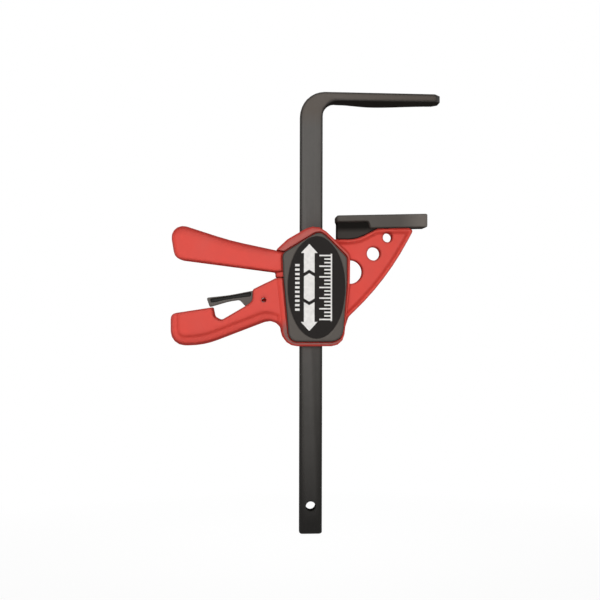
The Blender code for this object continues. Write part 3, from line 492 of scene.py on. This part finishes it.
def blackened_steel(name):
    """Flat bar with a black finish: drawn streaks, rubbed patches and a browner forged finger, with painted
    shade towards its lower end and on its edges, flanks and undersides.
    """
    material, tree, shader = new_material(name)
    place = add(tree, "TexCoord").outputs["Object"]
    streaks = noise(tree, stretched(tree, place, STREAK_STRETCH), *STREAKS)
    clouds = noise(tree, place, *BAR_CLOUDS)
    grain = noise(tree, place, *BAR_GRAIN)
    black = opaque(BAR_SHADE)
    tone = mixed(tree, ranged(tree, clouds, NOISE_SPAN), opaque(BAR_DARK), opaque(BAR_PALE))
    drawn = ranged(tree, streaks, STREAK_SPAN, high=STREAK_SHARE)
    tone = mixed(tree, drawn, tone, opaque(BAR_STREAK))
    # Painted shade, darker towards the bar's lower end
    height = axes(tree, place)["Z"]
    tone = mixed(tree, ranged(tree, height, LOWER_SHADE_SPAN), tone, black)
    forged = ranged(tree, height, FORGED_SPAN, high=FORGED_SHARE)
    tone = mixed(tree, forged, tone, opaque(BAR_FORGED))
    # Painted shade on edges, flanks and surfaces that face down
    facing = add(tree, "TexCoord").outputs["Normal"]
    plain = squareness(tree, facing)
    square = ranged(tree, plain, SIDE_SPAN, 1.0, BAR_SIDE_SHADE_SHARE)
    under = ranged(tree, axes(tree, facing)["Z"], UNDER_SHADE_SPAN)
    rounded = squareness(tree, bevelled(tree, BAR_EDGE))
    turned = ranged(tree, rounded, BAR_FLANK_SHADE_SPAN, high=BAR_FLANK_SHADE_SHARE)
    tone = mixed(tree, times(tree, turned, larger(tree, square, under)), tone, black)
    tree.links.new(tone, shader.inputs["Base Color"])
    set_gloss(tree, shader, plain, BAR_GLOSS)
    set_roughness(tree, shader, clouds, *BAR_ROUGHNESS)
    fine = bump(tree, grain, *GRAIN_BUMP)
    tree.links.new(bump(tree, streaks, *STREAK_BUMP, fine), shader.inputs["Normal"])
    return material


def bright_steel(name, colour, roughness):
    """Ground or plated steel: fine scratches and a little tarnish."""
    material, tree, shader = new_material(name)
    place = add(tree, "TexCoord").outputs["Object"]
    tarnish = ranged(tree, noise(tree, place, *TARNISH), NOISE_SPAN)
    scratches = noise(tree, stretched(tree, place, SCRATCH_STRETCH), *SCRATCHES)
    tone = mixed(tree, tarnish, opaque(colour, TARNISH_TONE), opaque(colour))
    tree.links.new(tone, shader.inputs["Base Color"])
    set_roughness(tree, shader, scratches, *(roughness + change for change in STEEL_ROUGHNESS))
    tree.links.new(bump(tree, scratches, *SCRATCH_BUMP), shader.inputs["Normal"])
    shader.inputs["Metallic"].default_value = 1.0
    return material


def film(name, colour, roughness):
    """Printed or painted film: an even colour with slight mottling and a faint texture."""
    material, tree, shader = new_material(name)
    place = add(tree, "TexCoord").outputs["Object"]
    mottle = noise(tree, place, *MOTTLE)
    darker, paler = (opaque(colour, factor) for factor in MOTTLE_TONES)
    tone = mixed(tree, ranged(tree, mottle, NOISE_SPAN), darker, paler)
    tree.links.new(tone, shader.inputs["Base Color"])
    set_roughness(tree, shader, mottle, *(roughness + change for change in FILM_ROUGHNESS))
    tree.links.new(bump(tree, noise(tree, place, *TOOTH), *TOOTH_BUMP), shader.inputs["Normal"])
    shader.inputs["Specular IOR Level"].default_value = FILM_GLOSS
    return material


def body_of(node):
    return next(body for body, nodes in frame["record"]["behaviour"]["bodies"].items() if node in nodes)


def link(name, mesh, material):
    obj = bpy.data.objects.new(name, mesh)
    bpy.context.scene.collection.objects.link(obj)
    mesh.materials.clear()
    mesh.materials.append(material)
    return obj


def stand_for(obj, node):
    """Shows a piece in place of a solid, on the same body."""
    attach(obj, body_of(node))
    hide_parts(node)
    return obj


def welded(node, name):
    """The mesh of a solid with its faces joined at their corners."""
    build = bmesh.new()
    build.from_mesh(frame["nodes"][node].data)
    bmesh.ops.remove_doubles(build, verts=build.verts, dist=WELD)
    bmesh.ops.recalc_face_normals(build, faces=build.faces)
    mesh = bpy.data.meshes.new(name)
    build.to_mesh(mesh)
    build.free()
    return mesh


def crisp(node, material, sharp_angle=SHARP_ANGLE):
    """A machined or printed piece: the solid with smooth rounds and sharp edges."""
    name = node + "_form"
    mesh = welded(node, name)
    mesh.shade_smooth()
    mesh.set_sharp_from_angle(angle=sharp_angle)
    return stand_for(link(name, mesh, material), node)


def moulded(node, material):
    """A moulding: the solid with every edge and inner corner softened."""
    name = node + "_form"
    voxel, rounds = MOULDINGS[node]
    obj = link(name, welded(node, name), material)
    remesh = obj.modifiers.new("fine", "REMESH")
    remesh.mode = "VOXEL"
    remesh.voxel_size = voxel
    smooth = obj.modifiers.new("soft", "SMOOTH")
    smooth.factor = SMOOTHING_FACTOR
    smooth.iterations = rounds
    depsgraph = bpy.context.evaluated_depsgraph_get()
    mesh = bpy.data.meshes.new_from_object(obj.evaluated_get(depsgraph))
    obj.modifiers.clear()
    obj.data = mesh
    mesh.name = name
    mesh.materials.clear()
    mesh.materials.append(material)
    mesh.shade_smooth()
    return stand_for(obj, node)


def seated(obj, other):
    """Lets a moulding down onto its neighbour where the two all but touch."""
    corners = [vertex.co for vertex in other.data.vertices]
    faces = [polygon.vertices for polygon in other.data.polygons]
    tree = BVHTree.FromPolygons(corners, faces)
    for vertex in obj.data.vertices:
        place, _, _, distance = tree.find_nearest(vertex.co, SEAT_REACH)
        if place is not None and distance > SEAT_LEFT:
            vertex.co = place + (vertex.co - place) * (SEAT_LEFT / distance)
    obj.data.update()


def ink(name, outlines, material):
    """Thin raised print on the label, from outlines in millimetres about the label's centre."""
    low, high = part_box("front_label")
    middle = (low + high) / 2
    build = bmesh.new()
    for outline in outlines:
        places = [(middle.x + x / PER_METRE, middle.z + z / PER_METRE) for x, z in outline]
        foot = [build.verts.new((x, low.y, z)) for x, z in places]
        top = [build.verts.new((x, low.y - INK_HEIGHT, z)) for x, z in places]
        build.faces.new(foot)
        build.faces.new(reversed(top))
        for index in range(len(outline)):
            after = (index + 1) % len(outline)
            build.faces.new((foot[index], top[index], top[after], foot[after]))
    bmesh.ops.recalc_face_normals(build, faces=build.faces)
    mesh = bpy.data.meshes.new(name)
    build.to_mesh(mesh)
    build.free()
    obj = link(name, mesh, material)
    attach(obj, "head")


def strip(left, right, middle, width):
    """The outline of a level strip of print."""
    low = middle - width / 2
    high = middle + width / 2
    return [(left, low), (right, low), (right, high), (left, high)]


def make_arrow(material):
    """A double arrow for the sliding direction, with a bare tag between its halves."""
    half = [
        (0.0, ARROW_TIP), (ARROW_BARB, ARROW_BASE), (ARROW_SHAFT, ARROW_BASE),
        (ARROW_SHAFT, ARROW_NOTCH - TAG_SLANT), (0.0, ARROW_NOTCH), (-ARROW_SHAFT, ARROW_NOTCH - TAG_SLANT),
        (-ARROW_SHAFT, ARROW_BASE), (-ARROW_BARB, ARROW_BASE),
    ]
    shoulder = TAG_TIP - TAG_SLANT
    tag = [
        (0.0, TAG_TIP), (ARROW_SHAFT, shoulder), (ARROW_SHAFT, -shoulder),
        (0.0, -TAG_TIP), (-ARROW_SHAFT, -shoulder), (-ARROW_SHAFT, shoulder),
    ]
    arrows = [[(ARROW_MIDDLE + x, side * z) for x, z in half] for side in (1, -1)]
    arrows.append([(ARROW_MIDDLE + x, z) for x, z in tag])
    ink("label_arrow", arrows, material)


def make_rule(material):
    """A plain rule without numbers."""
    right = RULE_EDGE - RULE_WIDTH
    rule = [strip(right, RULE_EDGE, 0.0, 2 * RULE_HALF)]
    ticks = int(RULE_HALF // TICK_PITCH)
    for number in range(-ticks, ticks + 1):
        length = TICK_SHORT if number % TICKS_PER_LONG else TICK_LONG
        rule.append(strip(right - length, right, number * TICK_PITCH, TICK_WIDTH))
    ink("label_rule", rule, material)


def make_dashes(material):
    """A row of dashes."""
    left = DASH_MIDDLE - DASH_LENGTH / 2
    middles = [(number - (DASHES - 1) / 2) * DASH_PITCH for number in range(DASHES)]
    dashes = [strip(left, left + DASH_LENGTH, middle, DASH_WIDTH) for middle in middles]
    ink("label_dashes", dashes, material)


def make_spring(node, material):
    """A coil with closed end turns."""
    low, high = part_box(node)
    middle = (low + high) / 2
    height = high.z - low.z
    radius = (high.x - low.x - SPRING_WIRE) / 2
    turns = SPRING_TURNS + 2 * SPRING_CLOSED
    closed_rise = SPRING_CLOSED_PITCH * SPRING_CLOSED
    open_rise = height - SPRING_WIRE - 2 * closed_rise
    curve = bpy.data.curves.new(node + "_coil", "CURVE")
    curve.dimensions = "3D"
    curve.bevel_depth = SPRING_WIRE / 2
    curve.bevel_resolution = SPRING_ROUNDNESS
    curve.use_fill_caps = True
    count = int(turns * SPRING_STEPS)
    spline = curve.splines.new("POLY")
    spline.points.add(count)
    for step, point in enumerate(spline.points):
        turn = turns * step / count
        up = min(turn, SPRING_CLOSED) / SPRING_CLOSED * closed_rise
        up += min(max(turn - SPRING_CLOSED, 0.0), SPRING_TURNS) / SPRING_TURNS * open_rise
        up += max(turn - SPRING_CLOSED - SPRING_TURNS, 0.0) / SPRING_CLOSED * closed_rise
        angle = 2 * math.pi * turn
        x = middle.x + radius * math.cos(angle)
        y = middle.y + radius * math.sin(angle)
        point.co = (x, y, low.z + SPRING_WIRE / 2 + up, 1.0)
    wound = bpy.data.objects.new(node + "_coil", curve)
    bpy.context.scene.collection.objects.link(wound)
    depsgraph = bpy.context.evaluated_depsgraph_get()
    mesh = bpy.data.meshes.new_from_object(wound.evaluated_get(depsgraph))
    bpy.data.objects.remove(wound)
    mesh.shade_smooth()
    spring = stand_for(link(node + "_form", mesh, material), node)
    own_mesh(spring)


def make_mouldings():
    body_plastic = plastic("body_plastic", **RED_PLASTIC)
    paint_rim_shade(body_plastic)
    shade_grip(body_plastic, HANDLE_GRIP, -1)
    body = moulded("body", body_plastic)
    lever_plastic = plastic("drive_lever_plastic", **RED_PLASTIC)
    shade_grip(lever_plastic, LEVER_GRIP, 1)
    moulded("drive_lever", lever_plastic)
    for node in ("front_cover", "rear_cover"):
        moulded(node, plastic(node + "_plastic", **GREY_PLASTIC))
    moulded("release_trigger", plastic("release_trigger_plastic", **TRIGGER_PLASTIC))
    pad_plastic = plastic("jaw_pad_plastic", **PAD_PLASTIC)
    paint_pad_shade_and_highlight(pad_plastic)
    seated(moulded("jaw_pad", pad_plastic), body)


def make_label():
    crisp("front_label", film("label_film", *LABEL_FILM), LABEL_SHARP_ANGLE)
    label_ink = film("label_ink", *LABEL_INK)
    make_arrow(label_ink)
    make_rule(label_ink)
    make_dashes(label_ink)


def make_metal():
    for node in ("upper_cover_screw", "middle_cover_screw", "lower_cover_screw"):
        crisp(node, bright_steel(node + "_zinc", *ZINC))
    for node in ("lever_pin", "fulcrum_pin"):
        crisp(node, bright_steel(node + "_ground", *GROUND))
    # The pin's end is coloured as red moulding in painted shade
    crisp("trigger_pin", film("trigger_pin_shaded_red", *PIN_SHADED_RED))
    for node in ("upper_drive_plate", "lower_drive_plate", "brake_plate"):
        crisp(node, bright_steel(node + "_hardened", *HARDENED))
    for node in SPRINGS:
        make_spring(node, bright_steel(node + "_wire", *WIRE))


def seen_rays(tree):
    """1 for rays from the camera, in mirrors or through glass, and 0 for those that light the object."""
    path = add(tree, "LightPath")
    seen = path.outputs["Is Camera Ray"]
    for name in ("Is Glossy Ray", "Is Transmission Ray"):
        seen = larger(tree, seen, path.outputs[name])
    return seen


def make_floor():
    """A pale floor, well under the held clamp, that shows white but keeps a soft shadow."""
    mesh = bpy.data.meshes.new("floor")
    corners = [(x * FLOOR_HALF, y * FLOOR_HALF, 0.0) for x, y in ((-1, -1), (1, -1), (1, 1), (-1, 1))]
    mesh.from_pydata(corners, [], [(0, 1, 2, 3)])
    material, tree, shader = new_material("pale_floor")
    shader.inputs["Base Color"].default_value = opaque(FLOOR_COLOUR)
    shader.inputs["Roughness"].default_value = FLOOR_ROUGHNESS
    white = add(tree, "Emission", {"Color": opaque(WHITE), "Strength": 1.0}).outputs[0]
    place = add(tree, "TexCoord").outputs["Object"]
    away = add(tree, "VectorMath", {0: place}, operation="LENGTH").outputs["Value"]
    white_share = ranged(tree, away, FLOOR_WHITE_SPAN, low=FLOOR_WHITE_SHARE)
    share = times(tree, seen_rays(tree), white_share)
    mix = add(tree, "MixShader", {0: share, 1: shader.outputs[0], 2: white}).outputs[0]
    tree.links.new(mix, tree.nodes["Material Output"].inputs["Surface"])
    floor = link("floor", mesh, material)
    floor.location.z = cad_box[0].z - FLOOR_DROP


def make_world():
    """White where it is seen, and a faint even light on the object."""
    world = bpy.data.worlds.new("studio")
    bpy.context.scene.world = world
    world.use_nodes = True
    tree = world.node_tree
    background = tree.nodes["Background"]
    background.inputs["Color"].default_value = opaque(WHITE)
    strength = ranged(tree, seen_rays(tree), (0.0, 1.0), low=WORLD_LIGHT)
    tree.links.new(strength, background.inputs["Strength"])


def make_lights():
    """Soft round lights on every side, aimed at the clamp's head."""
    for name, (place, watts) in LIGHTS.items():
        light = bpy.data.lights.new(name, "AREA")
        light.shape = "DISK"
        light.size = LIGHT_SIZE
        light.energy = watts
        obj = bpy.data.objects.new(name, light)
        bpy.context.scene.collection.objects.link(obj)
        obj.location = place
        aim = LIGHT_TARGET - Vector(place)
        obj.rotation_euler = aim.to_track_quat("-Z", "Y").to_euler()


def make_camera():
    """The photo's view, nearly square on the front."""
    camera = bpy.data.cameras.new("camera")
    camera.sensor_width = SENSOR
    camera.lens = LENS
    obj = bpy.data.objects.new("camera", camera)
    bpy.context.scene.collection.objects.link(obj)
    back = Vector((math.sin(CAMERA_AZIMUTH), -math.cos(CAMERA_AZIMUTH), 0.0))
    across = Vector((0.0, 0.0, 1.0)).cross(back)
    up = back.cross(across)
    turned = Matrix((across, up, back)).transposed().to_4x4()
    turned.translation = CAMERA_TARGET + back * CAMERA_DISTANCE
    obj.matrix_world = turned @ Matrix.Rotation(CAMERA_ROLL, 4, "Z")
    bpy.context.scene.camera = obj


make_mouldings()
crisp("bar", blackened_steel("bar_black"))
make_label()
make_metal()
make_floor()
make_world()
make_lights()
make_camera()
bpy.context.scene.view_settings.view_transform = "Standard"
